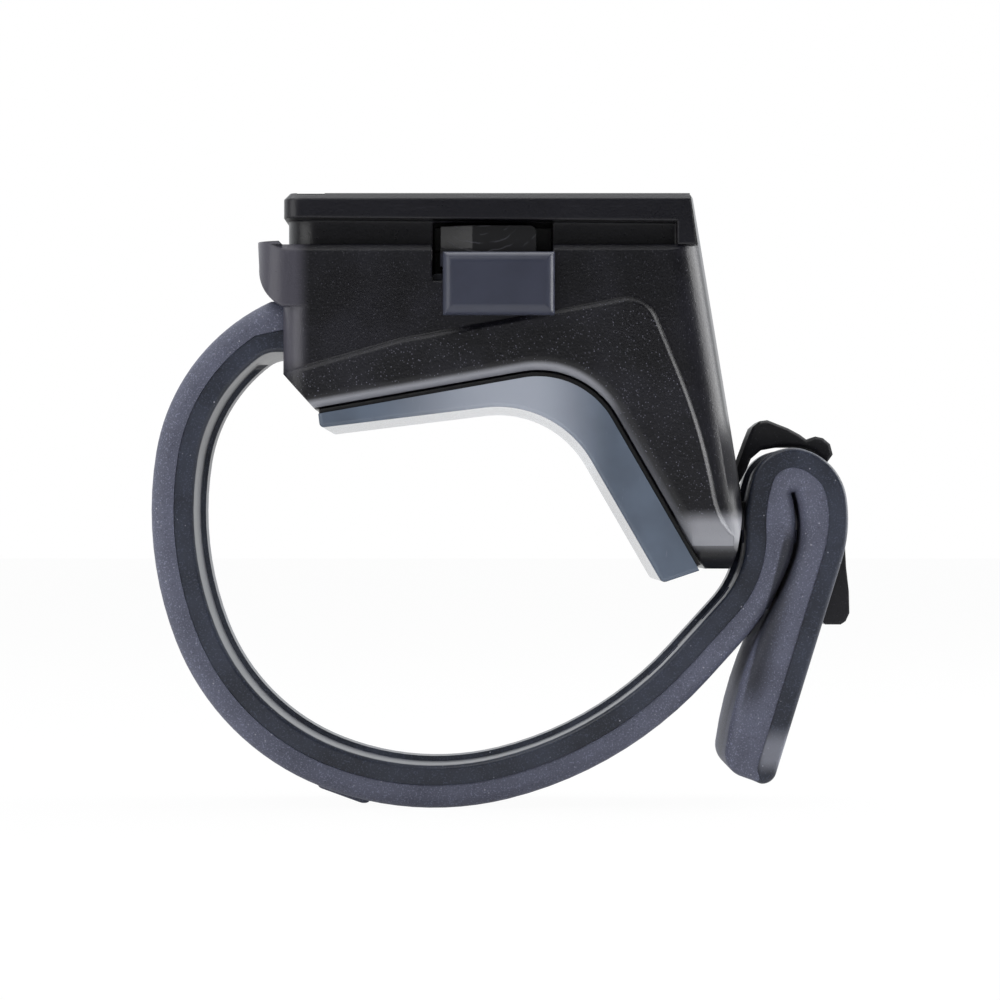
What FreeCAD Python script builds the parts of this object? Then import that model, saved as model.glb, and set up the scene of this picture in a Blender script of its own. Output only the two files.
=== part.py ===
import FreeCAD, Part
import math
import os

V = FreeCAD.Vector

# Bicycle light mount: saddle block with a T-rail deck on top, release button on the near side,
# silicone ladder strap that closes round the handlebar and hooks on the right end wall.
# X runs along the rail, Y across it (near side is -Y), Z is up. The origin is the bar's axis.

# Handlebar and saddle. The outlines are drawn round a bar of DRAWN_R; with another bar the
# saddle group rides out along its seat and the strap's loop opens by BAR_GROW.
BAR_D = 31.8
DRAWN_R = 15.9
BAR_GROW = BAR_D / 2 - DRAWN_R
LEFT_CONTACT_DEG = 97.0
RIGHT_CONTACT_DEG = 30.0
PAD_CORNER_R = 9.6
PAD_EDGE_R = 0.4
PLATE_T = 0.4
FIN_END = 15.2
SEAT_LEFT_DEG = 100.0
SEAT_LEFT_DIST = 18.1
SEAT_RIGHT_DIST = 19.75
SEAT_CORNER_R = 8.0

# Housing
PANEL_HALF = 12.2
SKIRT_RAISE = 0.5
SKIRT_HALF = PANEL_HALF + SKIRT_RAISE
WALL = 2.2
ROOF_Z = 30.9
DECK_TOP = 35.5
LIP_X = -18.2
LIP_CURB = 0.3
LEFT_X = -15.9
WALL_TOP_X = 21.3
WALL_KNEE = (25.25, 11.4)
WALL_BOW = 0.6
WALL_FOOT = (24.3, 1.9)
CORNER_R = 3.0
LEFT_CORNER_R = 2.5
LIP_FOOT_Z = 25.4
LEFT_FOOT_Z = 19.4
NOSE_R = 4.5
SKIRT_LOWER_R = 1.4
SKIRT_ROOT = 1.6
SKIRT_UPPER_R = 0.35

# Rail deck
DECK_HALF = PANEL_HALF - 0.2
WEB_HALF = DECK_HALF - 3.0
DECK_LEFT = -15.8
DECK_CORNER_R = 1.6
FLANGE_T_LEFT = 2.2
FLANGE_T_RIGHT = 2.5
END_BLOCK_X = 19.4
SEAM_GAP = 0.15
BEVEL = 0.55

# Release button
TRAVEL = 1.5
CLEAR = 0.3
PAD_X0 = -1.5
PAD_X1 = 8.4
PAD_Z0 = 24.4
PAD_Z1 = 30.0
PAD_THICK = 1.5
TOOTH_X0 = -1.8
TOOTH_X1 = 6.8
TOOTH_Z1 = 32.7
TOOTH_FACE = WEB_HALF + TRAVEL + 0.1
WINDOW_X0 = -2.5
WINDOW_X1 = 8.3
WINDOW_Z0 = 27.6
CARRIAGE_BACK = PANEL_HALF - WALL - CLEAR - 1.0
SPRING_X = 2.6
SPRING_Z = 26.6
SPRING_R = 1.5
SPRING_WIRE = 0.45
SPRING_TURNS = 3

# Strap
STRAP_HALF = PANEL_HALF - WALL - 1.0
STRAP_STEP = 0.15
BAND_T = 3.9
RIM_R = 1.4
RIM_OUT = 0.15
RIM_RUNOUT = 2.6
SMOOTH_LAYER = 1.8
FLUTE_DEPTH = 0.45
FLUTE_HALF = 5.6
SLOT_HALF = 4.4
SLOT_LEN = 3.9
SLOT_PITCH = 7.2
LUG_HALF = 6.0
PIN_D = 3.0
PIN_X = -11.3
PIN_Z = 23.75
BULB_R = 2.9
MOUTH_TOP = 26.1
FIT = 0.02

# Strap as tangent runs of (radius, turn) arcs and (0, length) lines in the side view
LOOP_START = (-17.14, 26.02)
LOOP_HEADING = 204.62
LOOP = ((18.18 + 3.0 * BAR_GROW, 56.15), (32.7 + 0.98076 * BAR_GROW, 30.36), (23.05 - BAR_GROW, 47.39),
        (28.04 - 2.13944 * BAR_GROW, 35.29), (35.84 + 7.0 * BAR_GROW, 34.04))
ROOT_LENGTH = 2.824
RISE = ((0, 4.44), (22.28, 21.41), (10.23, 36.62), (0.166, -177.34))
FOLD = ((0, 6.06), (8.76, 44.64), (14.58, -19.99), (3.67, -85.08), (5.3, -68.59), (12.74, -26.01), (0, 20.1))
TOE = (1.3, -78.0)
PARTING_END = (0, 1.24)
BACK = ((9.36, -37.42), (20.14, -11.13), (37.64, 22.1), (2.2, 81.4))
# Ladder slots: place on the smooth face, face direction, cutting depth; one pitch apart
LADDER_SLOTS = (((23.3, -1.2), 57.0, 5.2), ((18.8, -6.8), 48.0, 5.2),
                ((33.1, -1.6), -75.0, 5.5))
# Raised tab under the loop: (along the band, out of the rough face), at LUG_TURN into the third arc
LUG_TURN = 46.9
LUG = ((-0.5, -0.33), (0.08, 0.3), (4.33, 0.15), (4.85, -0.17), (4.75, -0.94))

# Hook on the end wall
HOOK_HALF = 3.6
PEG_Z1 = 8.0
PEG_Z0 = 5.4

# Reach of cutting blocks past everything
BEYOND = 60.0

# Screws
SCREW_D = 2.0
HEAD_D = 3.8
HEAD_T = 1.3
DECK_SCREW_X = (-11.0, 14.5)
DECK_SCREW_Y = PANEL_HALF - 6.0
DECK_SCREW_LEN = 5.2
PLATE_HEAD_T = 0.8
PLATE_SCREW_LEN = 6.0
PLATE_SCREW_Y = 6.0
BOSS_D = 4.0


def P(x, z, y=0.0):
    return V(x, y, z)


def line(a, b):
    return Part.LineSegment(a, b).toShape()


def arc(a, m, b):
    return Part.Arc(a, m, b).toShape()


def polar(deg):
    return V(math.cos(math.radians(deg)), 0, math.sin(math.radians(deg)))


def prism(edges, half, y0=None):
    """Extrude a closed XZ outline over the width, centred unless y0 gives the start."""
    start = -half if y0 is None else y0
    wire = Part.Wire(Part.__sortEdges__(edges))
    face = Part.Face(wire)
    face.translate(V(0, start, 0))
    return face.extrude(V(0, 2 * half, 0))


def poly(points, half, y0=None):
    pts = [P(*p) for p in points]
    edges = [line(a, b) for a, b in zip(pts, pts[1:] + pts[:1])]
    return prism(edges, half, y0)


def box(x0, x1, y0, y1, z0, z1):
    return Part.makeBox(x1 - x0, y1 - y0, z1 - z0, V(x0, y0, z0))


def cross(d1, deg1, d2, deg2):
    """Point where two lines, given by distance and normal angle, meet."""
    a = polar(deg1)
    b = polar(deg2)
    det = a.x * b.z - a.z * b.x
    return P((d1 * b.z - d2 * a.z) / det, (a.x * d2 - b.x * d1) / det)


def saddle_edges(d_left, deg_left, d_right, deg_right, radius, x_left, end_s):
    """Left arm line, corner arc and right arm line of one saddle surface."""
    corner = cross(d_left, deg_left, d_right, deg_right)
    n1 = polar(deg_left)
    n2 = polar(deg_right)
    t1 = V(-n1.z, 0, n1.x)
    t2 = V(n2.z, 0, -n2.x)
    turn = math.radians(deg_left - deg_right)
    reach = radius * math.tan(turn / 2)
    a = corner + t1 * reach
    b = corner + t2 * reach
    centre = a - n1 * radius
    mid = centre + polar((deg_left + deg_right) / 2) * radius
    start = a + t1 * ((a.x - x_left) / -t1.x)
    end = b + t2 * end_s
    return start, a, mid, b, end


def seat(offset, x_left, end_s):
    return saddle_edges(SEAT_LEFT_DIST - offset, SEAT_LEFT_DEG, SEAT_RIGHT_DIST - offset,
                        RIGHT_CONTACT_DEG, SEAT_CORNER_R - offset, x_left, end_s)


def wall_x(z):
    """Outer face of the end wall in the side view."""
    return WALL_TOP_X + (DECK_TOP - z) * (WALL_KNEE[0] - WALL_TOP_X) / (DECK_TOP - WALL_KNEE[1])


def lean_prism(inset):
    """Plan outline with rounded right corners and a bowed end, leaned back along the end wall."""
    right = -WALL_BOW - inset
    half = PANEL_HALF - inset
    r = CORNER_R - inset
    q = r * (1 - math.sqrt(0.5))
    low = -BEYOND
    a = V(low, -half, low)
    b = V(right - r, -half, low)
    c = V(right, -half + r, low)
    d = V(right, half - r, low)
    e = V(right - r, half, low)
    f = V(low, half, low)
    edges = [line(a, b), arc(b, V(right - q, -half + q, low), c), arc(c, V(right + WALL_BOW, 0, low), d)]
    edges += [arc(d, V(right - q, half - q, low), e), line(e, f), line(f, a)]
    block = Part.Face(Part.Wire(edges)).extrude(V(0, 0, -2 * low))
    lean = math.degrees(math.atan2(WALL_KNEE[0] - WALL_TOP_X, DECK_TOP - WALL_KNEE[1]))
    block.rotate(V(0, 0, 0), V(0, 1, 0), -lean)
    block.translate(P(*WALL_KNEE))
    return block


def round_left(x0, half, r, z0, z1, x1=BEYOND):
    """Upright block whose two left corners are rounded in plan."""
    q = r * (1 - math.sqrt(0.5))
    a = V(x1, -half, z0)
    b = V(x0 + r, -half, z0)
    c = V(x0, -half + r, z0)
    d = V(x0, half - r, z0)
    e = V(x0 + r, half, z0)
    f = V(x1, half, z0)
    edges = [line(a, b), arc(b, V(x0 + q, -half + q, z0), c), line(c, d)]
    edges += [arc(d, V(x0 + q, half - q, z0), e), line(e, f), line(f, a)]
    return Part.Face(Part.Wire(edges)).extrude(V(0, 0, z1 - z0))


def seam_x(z):
    return 20.5 + (DECK_TOP - z) * 0.6 / (DECK_TOP - ROOF_Z)


def housing_shell():
    s, a, m, b, e = seat(0.0, -12.9, 13.2)
    tip = P(22.0, WALL_FOOT[1])
    left_foot = P(LEFT_X, LEFT_FOOT_Z)
    lip_end = P(LEFT_X, LIP_FOOT_Z)
    lip_start = P(LIP_X + 0.15, 29.0)
    curb = ROOF_Z + LIP_CURB
    curb_end = DECK_LEFT - 0.1
    step = seam_x(ROOF_Z) + SEAM_GAP
    seam_top = seam_x(DECK_TOP) + SEAM_GAP
    edges = [line(s, a), arc(a, m, b), line(b, e), line(e, tip), line(tip, P(*WALL_FOOT))]
    edges += [arc(P(*WALL_FOOT), P(25.25, 6.5), P(*WALL_KNEE))]
    edges += [line(P(*WALL_KNEE), P(WALL_TOP_X, DECK_TOP)), line(P(WALL_TOP_X, DECK_TOP), P(seam_top, DECK_TOP))]
    edges += [line(P(seam_top, DECK_TOP), P(step, ROOF_Z)), line(P(step, ROOF_Z), P(curb_end, ROOF_Z))]
    edges += [line(P(curb_end, ROOF_Z), P(curb_end - LIP_CURB, curb)), line(P(curb_end - LIP_CURB, curb), P(LIP_X, curb))]
    edges += [line(P(LIP_X, curb), lip_start), arc(lip_start, P(-17.3, 26.5), lip_end)]
    edges += [line(lip_end, left_foot), line(left_foot, s)]
    body = prism(edges, PANEL_HALF)
    body = body.common(lean_prism(0.0))
    lower = round_left(LEFT_X, PANEL_HALF, LEFT_CORNER_R, -BEYOND, LIP_FOOT_Z)
    return body.common(lower.fuse(round_left(LIP_X, PANEL_HALF, CORNER_R, LIP_FOOT_Z, BEYOND)))


def skirt(side):
    """Raised arch on one side wall, from the left foot over the crest to the lower right tip.

    Returned with the plain blank whose place it takes in the wall.
    """
    s, a, m, b, e = seat(0.0, -12.9, 13.2)
    tip = P(22.0, WALL_FOOT[1])
    crest0 = P(13.9, 25.95)
    crest1 = P(17.5, 24.5)
    edges = [line(s, a), arc(a, m, b), line(b, e), line(e, tip), line(tip, P(*WALL_FOOT))]
    edges += [line(P(*WALL_FOOT), P(24.45, 4.8)), arc(P(24.45, 4.8), P(23.2, 6.9), P(22.65, 8.9))]
    edges += [arc(P(22.65, 8.9), P(21.2, 14.9), P(19.4, 19.9)), line(P(19.4, 19.9), crest1)]
    edges += [arc(crest1, P(16.35, 25.75), crest0), line(crest0, P(-5.4, 22.4))]
    edges += [line(P(-5.4, 22.4), P(LEFT_X, LEFT_FOOT_Z)), line(P(LEFT_X, LEFT_FOOT_Z), s)]
    thick = SKIRT_RAISE + SKIRT_ROOT
    blank = prism(edges, thick / 2, PANEL_HALF - SKIRT_ROOT)
    outline = [Part.Wire([line(e, tip), line(tip, P(*WALL_FOOT))]), Part.Wire([line(P(LEFT_X, LEFT_FOOT_Z), s)])]
    rim = [k for k in blank.Edges if all(abs(v.Y - SKIRT_HALF) < 1e-3 for v in k.Vertexes)]
    lower = [k for k in rim if on_outline(k, seat_wire())]
    upper = [k for k in rim if not any(on_outline(k, w) for w in outline + [seat_wire()])]
    plate = blank.makeFillet(SKIRT_LOWER_R, lower)
    plate = plate.makeChamfer(SKIRT_UPPER_R, [k for k in plate.Edges if any(same_place(k, j) for j in upper)])
    plate = plate.common(round_left(LEFT_X, SKIRT_HALF, LEFT_CORNER_R, -BEYOND, BEYOND))
    if side < 0:
        return plate.mirror(V(0, 0, 0), V(0, 1, 0)), blank.mirror(V(0, 0, 0), V(0, 1, 0))
    return plate, blank


def same_place(edge, other):
    a = edge.valueAt(edge.getParameterByLength(edge.Length / 2))
    return other.distToShape(Part.Vertex(a))[0] < 0.01 and abs(edge.Length - other.Length) < 3


def seat_wire():
    s, a, m, b, e = seat(0.0, -12.9, 13.2)
    return Part.Wire([line(s, a), arc(a, m, b), line(b, e)])


def on_outline(edge, wire):
    """Whether the middle of an edge lies over a wire of the side view."""
    middle = edge.valueAt(edge.getParameterByLength(edge.Length / 2))
    return wire.distToShape(Part.Vertex(V(middle.x, 0, middle.z)))[0] < 0.01


def side_edges(shape, half, wire):
    """Edges of both flat sides that follow a wire of the side view."""
    flat = [k for k in shape.Edges if all(abs(abs(v.Y) - half) < 1e-3 for v in k.Vertexes)]
    flat = [k for k in flat if abs(k.Vertexes[0].Y - k.Vertexes[-1].Y) < 1e-3]
    return [k for k in flat if on_outline(k, wire)]


def nose():
    """Cross section of the saddle block: its lower right tip is rounded toward both sides."""
    low = WALL_FOOT[1]
    q = NOSE_R * (1 - math.sqrt(0.5))
    half = SKIRT_HALF
    a = V(-BEYOND, -half, BEYOND)
    b = V(-BEYOND, -half, low + NOSE_R)
    c = V(-BEYOND, -half + NOSE_R, low)
    d = V(-BEYOND, half - NOSE_R, low)
    e = V(-BEYOND, half, low + NOSE_R)
    f = V(-BEYOND, half, BEYOND)
    edges = [line(a, b), arc(b, V(-BEYOND, -half + q, low + q), c), line(c, d)]
    edges += [arc(d, V(-BEYOND, half - q, low + q), e), line(e, f), line(f, a)]
    return Part.Face(Part.Wire(edges)).extrude(V(2 * BEYOND, 0, 0))


def cavity():
    """Hollow underside, open toward the saddle plate."""
    s, a, m, b, e = seat(1.0, -11.0, 11.5)
    roof = ROOF_Z - WALL
    right = wall_x(roof) - WALL
    left = LEFT_X + WALL
    edges = [line(s, a), arc(a, m, b), line(b, e), line(e, P(22.3, 5.2))]
    edges += [line(P(22.3, 5.2), P(WALL_KNEE[0] - WALL, WALL_KNEE[1])), line(P(WALL_KNEE[0] - WALL, WALL_KNEE[1]), P(right, roof))]
    edges += [line(P(right, roof), P(left, roof)), line(P(left, roof), P(left, 20.0)), line(P(left, 20.0), s)]
    hollow = prism(edges, PANEL_HALF - WALL)
    return hollow.common(lean_prism(WALL))


def hook_horn():
    top = [(25.0, 10.4), (25.47, 11.7), (26.2, 13.7), (26.65, 14.8), (27.3, 15.35), (28.0, 15.45),
           (29.9, 14.7), (31.0, 14.1), (31.6, 13.65), (32.4, 13.95), (33.1, 13.8), (33.75, 13.25),
           (34.0, 12.3), (33.5, 11.6), (32.3, 12.65), (30.9, 13.05), (29.2, 13.05), (27.5, 12.75),
           (26.5, 11.9), (26.1, 10.9), (25.4, 9.6)]
    horn = poly(top, HOOK_HALF)
    sides = [k for k in horn.Edges if k.Length > 0.5 and abs(abs(k.Vertexes[0].Y) - HOOK_HALF) < 1e-3
             and abs(k.Vertexes[0].Y - k.Vertexes[-1].Y) < 1e-6 and min(v.X for v in k.Vertexes) > 25.4]
    return horn, sides


def hook_peg():
    outline = [(24.0, PEG_Z0), (24.0, PEG_Z1), (34.0, PEG_Z1), (34.7, 7.6), (34.95, 6.8), (35.2, 2.0),
               (35.45, -0.2), (35.5, -2.2), (35.15, -2.95), (34.7, -3.25), (33.3, -3.25), (33.0, -2.95),
               (33.15, -1.6), (33.85, 1.0), (34.5, 3.3), (34.5, 4.6), (34.1, PEG_Z0)]
    return poly(outline, HOOK_HALF)


def window_cut():
    near = box(WINDOW_X0, WINDOW_X1, -PANEL_HALF - 2, -WEB_HALF + 6.0, WINDOW_Z0, ROOF_Z + 1)
    return near


def plate_screw_sites():
    """Point on the saddle seat and inward normal for each plate screw."""
    n1 = polar(SEAT_LEFT_DEG)
    n2 = polar(RIGHT_CONTACT_DEG)
    sites = []
    x = -4.7
    z = (SEAT_LEFT_DIST - n1.x * x) / n1.z
    for y in (-PLATE_SCREW_Y, PLATE_SCREW_Y):
        sites.append((P(x, z, y), n1))
    x = 17.2
    z = (SEAT_RIGHT_DIST - n2.x * x) / n2.z
    sites.append((P(x, z), n2))
    return sites


def bosses():
    out = []
    for point, n in plate_screw_sites():
        out.append(Part.makeCylinder(BOSS_D / 2, 14.0, point, n))
    return out


def housing():
    body = housing_shell()
    for side in (-1, 1):
        plate, blank = skirt(side)
        body = body.cut(blank).fuse(plate)
    body = body.common(nose())
    hollow = cavity()
    posts = [b.common(hollow) for b in bosses()]
    rib = box(SPRING_X - 2.8, SPRING_X + 2.8, 0.0, 1.6, SPRING_Z - 2.4, ROOF_Z - WALL)
    hollow = hollow.cut(posts[0].fuse(posts[1:] + [rib]))
    body = body.cut(hollow)
    mouth = box(LEFT_X - 3, LEFT_X + WALL + 0.1, -STRAP_HALF - CLEAR, STRAP_HALF + CLEAR, 21.1, 26.4)
    sockets = Part.makeCylinder(PIN_D / 2 + 0.02, 2 * (PANEL_HALF - 1.2), V(PIN_X, -(PANEL_HALF - 1.2), PIN_Z), V(0, 1, 0))
    cuts = [mouth, sockets, window_cut()]
    for x in DECK_SCREW_X:
        for y in (-DECK_SCREW_Y, DECK_SCREW_Y):
            cuts.append(Part.makeCylinder(SCREW_D / 2 + 0.2, 4.0, V(x, y, ROOF_Z - WALL - 1), V(0, 0, 1)))
    for point, n in plate_screw_sites():
        cuts.append(Part.makeCylinder(SCREW_D / 2 + 0.02, PLATE_SCREW_LEN + 1.0, point - n, n))
    for side in (-1, 1):
        tri = [V(LIP_X - 1, side * (PANEL_HALF + 0.01), ROOF_Z - BEVEL), V(LIP_X - 1, side * (PANEL_HALF + 0.01), ROOF_Z + 0.01),
               V(LIP_X - 1, side * (PANEL_HALF - BEVEL), ROOF_Z + 0.01)]
        face = Part.Face(Part.makePolygon(tri + tri[:1]))
        cuts.append(face.extrude(V(seam_x(ROOF_Z) - LIP_X, 0, 0)))
    body = body.cut(cuts)
    horn, sides = hook_horn()
    body = body.fuse([horn.makeChamfer(0.25, sides), hook_peg()])
    return body.removeSplitter()


def rail_deck():
    z_left = DECK_TOP - FLANGE_T_LEFT
    z_right = DECK_TOP - FLANGE_T_RIGHT
    flange = poly([(DECK_LEFT, z_left), (DECK_LEFT, DECK_TOP), (seam_x(DECK_TOP), DECK_TOP), (seam_x(ROOF_Z), ROOF_Z),
                   (END_BLOCK_X, ROOF_Z), (END_BLOCK_X, z_right)], DECK_HALF)
    flange = flange.common(round_left(DECK_LEFT, DECK_HALF, DECK_CORNER_R, 0, 60))
    top = [k for k in flange.Edges if all(abs(v.Z - DECK_TOP) < 1e-3 for v in k.Vertexes)
           and max(v.X for v in k.Vertexes) - min(v.X for v in k.Vertexes) > 1.0]
    top += [k for k in flange.Edges if all(abs(v.Z - DECK_TOP) < 1e-3 and v.X < DECK_LEFT + 0.01 for v in k.Vertexes)]
    flange = flange.makeChamfer(BEVEL, top)
    web = round_left(DECK_LEFT + 0.2, WEB_HALF, CORNER_R, ROOF_Z, z_left, END_BLOCK_X + 0.3)
    body = flange.fuse(web)
    cuts = [box(WINDOW_X0, WINDOW_X1, -DECK_HALF - 1, -WEB_HALF + 6.0, ROOF_Z - 1, TOOTH_Z1 + 0.35)]
    cuts[0] = cuts[0].common(box(-30, 30, -WEB_HALF - 0.01, 20, 0, 60))
    cuts.append(box(-14.6, -12.1, -DECK_HALF - 1, -DECK_HALF + 1.2, DECK_TOP - 0.15, DECK_TOP + 1))
    cuts.append(box(-8.0, 11.0, -1.0, 7.0, ROOF_Z - 1, DECK_TOP - 2.0))
    for x in DECK_SCREW_X:
        for y in (-DECK_SCREW_Y, DECK_SCREW_Y):
            depth = DECK_SCREW_LEN - WALL + 0.3
            cuts.append(Part.makeCylinder(SCREW_D / 2 + 0.02, depth, V(x, y, ROOF_Z), V(0, 0, 1)))
    return body.cut(cuts).removeSplitter()


def release_button():
    """Thumb pad, neck through the window, latch tooth in the rail groove, and the spring pin."""
    pad_in = SKIRT_HALF + TRAVEL + CLEAR
    pad = box(PAD_X0, PAD_X1, -pad_in - PAD_THICK, -pad_in, PAD_Z0, PAD_Z1)
    outer = [k for k in pad.Edges if all(abs(v.Y + pad_in + PAD_THICK) < 1e-3 for v in k.Vertexes)]
    pad = pad.makeFillet(0.9, outer)
    neck = box(TOOTH_X0 + 0.5, TOOTH_X1, -pad_in - 0.2, -CARRIAGE_BACK, WINDOW_Z0 + CLEAR, PAD_Z1 - 0.4)
    stem = box(TOOTH_X0, TOOTH_X1, -TOOTH_FACE, -CARRIAGE_BACK + 2.0, PAD_Z1 - 1.0, TOOTH_Z1)
    ramp = Part.Face(Part.makePolygon([V(TOOTH_X0 - 0.01, -TOOTH_FACE - 0.01, 30.6), V(TOOTH_X0 - 0.01, -WEB_HALF - 0.1, 30.6),
                                       V(TOOTH_X0 + 2.9, -TOOTH_FACE - 0.01, 30.6), V(TOOTH_X0 - 0.01, -TOOTH_FACE - 0.01, 30.6)]))
    ramp = ramp.extrude(V(0, 0, 3.0))
    corner = [k for k in stem.Edges if all(abs(v.X - TOOTH_X1) < 1e-3 and abs(v.Z - TOOTH_Z1) < 1e-3 for v in k.Vertexes)]
    stem = stem.makeFillet(0.6, corner).cut(ramp)
    flange = box(WINDOW_X0 - 0.9, WINDOW_X1 + 0.9, -(PANEL_HALF - WALL) + CLEAR, -CARRIAGE_BACK, SPRING_Z - 2.2, ROOF_Z - WALL - CLEAR)
    pin = Part.makeCylinder(SPRING_R - SPRING_WIRE / 2 - 0.1, 3.4, V(SPRING_X, -CARRIAGE_BACK, SPRING_Z), V(0, 1, 0))
    return pad.fuse([neck, stem, flange, pin]).removeSplitter()


def button_spring():
    length = CARRIAGE_BACK - TRAVEL - CLEAR - SPRING_WIRE
    helix = Part.makeHelix(length / SPRING_TURNS, length, SPRING_R)
    corners = [V(SPRING_R, 0, 0) + polar(60 * k) * (SPRING_WIRE / 2) for k in range(6)]
    ring = Part.makePolygon(corners + corners[:1])
    coil = Part.Wire(helix).makePipeShell([ring], True, True)
    coil.rotate(V(0, 0, 0), V(1, 0, 0), -90)
    coil.translate(V(SPRING_X, -CARRIAGE_BACK + SPRING_WIRE / 2, SPRING_Z))
    return coil


def saddle_plate():
    s, a, m, b, e = seat(0.0, -12.6, FIN_END)
    s2, a2, m2, b2, e2 = seat(PLATE_T, -12.6, FIN_END)
    edges = [line(s, a), arc(a, m, b), line(b, e), line(e, e2), line(e2, b2), arc(b2, m2, a2), line(a2, s2), line(s2, s)]
    plate = prism(edges, SKIRT_HALF - 0.8)
    cuts = []
    for point, n in plate_screw_sites():
        cuts.append(Part.makeCylinder(SCREW_D / 2 + 0.2, 2.0, point - n, n))
    return plate.cut(cuts)


def saddle_pad():
    s, a, m, b, e = seat(PLATE_T, -12.65, FIN_END + 0.4)
    left = BAR_D / 2 - polar(LEFT_CONTACT_DEG).dot(ride_out())
    right = BAR_D / 2 - polar(RIGHT_CONTACT_DEG).dot(ride_out())
    s2, a2, m2, b2, e2 = saddle_edges(left, LEFT_CONTACT_DEG, right, RIGHT_CONTACT_DEG, PAD_CORNER_R, -12.5, 11.9)
    right_end = P(18.0, 0.65)
    contact = [line(e2, b2), arc(b2, m2, a2), line(a2, s2)]
    edges = [line(s, a), arc(a, m, b), line(b, e), line(e, right_end), line(right_end, e2), line(s2, s)]
    pad = prism(edges + contact, SKIRT_HALF)
    rim = []
    for k in pad.Edges:
        ends = [k.Vertexes[0], k.Vertexes[-1]]
        across = abs(ends[0].Y - ends[1].Y) > 1
        if across and (ends[0].X < -12.3 and ends[0].Z < s2.z + 0.2 or abs(ends[0].X - right_end.x) < 0.05):
            rim.append(k)
    pad = pad.makeFillet(0.7, rim)
    pad = pad.makeFillet(PAD_EDGE_R, side_edges(pad, SKIRT_HALF, Part.Wire(contact)))
    cuts = []
    for point, n in plate_screw_sites():
        cuts.append(Part.makeCylinder(HEAD_D / 2 + 0.1, PLATE_HEAD_T + 0.05, point - n * (PLATE_T + PLATE_HEAD_T + 0.05), n))
    return pad.cut(cuts)


def ride_out():
    """How far the saddle group moves when both arms of its seat clear a larger bar."""
    return cross(BAR_GROW, SEAT_LEFT_DEG, BAR_GROW, RIGHT_CONTACT_DEG)


def chain(start, heading, legs, offset=0.0):
    """Tangent run of (radius, turn) arcs and (0, length) lines; the offset is to its left."""
    point = start + polar(heading + 90) * offset
    edges = []
    for radius, amount in legs:
        if radius == 0:
            end = point + polar(heading) * amount
            edges.append(line(point, end))
        else:
            side = 1 if amount > 0 else -1
            r = side * radius - offset
            centre = point + polar(heading + 90) * r
            mid = centre - polar(heading + amount / 2 + 90) * r
            end = centre - polar(heading + amount + 90) * r
            edges.append(arc(point, mid, end))
            heading += amount
        point = end
    return edges, point, heading


def loop_run(offset=0.0):
    """Rough outer face of the loop, from the housing's mouth round the bar."""
    return chain(P(*LOOP_START), LOOP_HEADING, LOOP, offset)


def smooth_run(offset=0.0, last=()):
    """Smooth face: inside of the loop from the mouth, then over the fold and down the tail."""
    radius, turn = LOOP[0]
    skip = math.degrees(ROOT_LENGTH / radius)
    start, heading = chain(P(*LOOP_START), LOOP_HEADING, [(radius, skip)])[1:]
    inside = [(radius, turn - skip)] + list(LOOP[1:])
    edges, end, heading = chain(start, heading, inside, BAND_T + offset)
    middle = end - polar(heading + 90) * offset
    fold, end, heading = chain(middle, heading, FOLD + last, offset)
    return edges + fold, end, heading


def rim_cutter(path, start, heading, side):
    """Sweep that rounds the long edge of the rough half on one side, in three flats."""
    inward = polar(heading + 90)

    def at(u, v):
        return start + inward * u + V(0, side * (STRAP_HALF - v), 0)

    turned = [polar(30 * k) * RIM_R for k in range(4)]
    corners = [at(RIM_R - p.x, RIM_R - p.z) for p in turned]
    corners += [at(RIM_R, -RIM_OUT), at(-RIM_OUT, -RIM_OUT), at(-RIM_OUT, RIM_R)]
    return Part.Wire(path).makePipeShell([Part.makePolygon(corners + corners[:1])], True, False)


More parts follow.
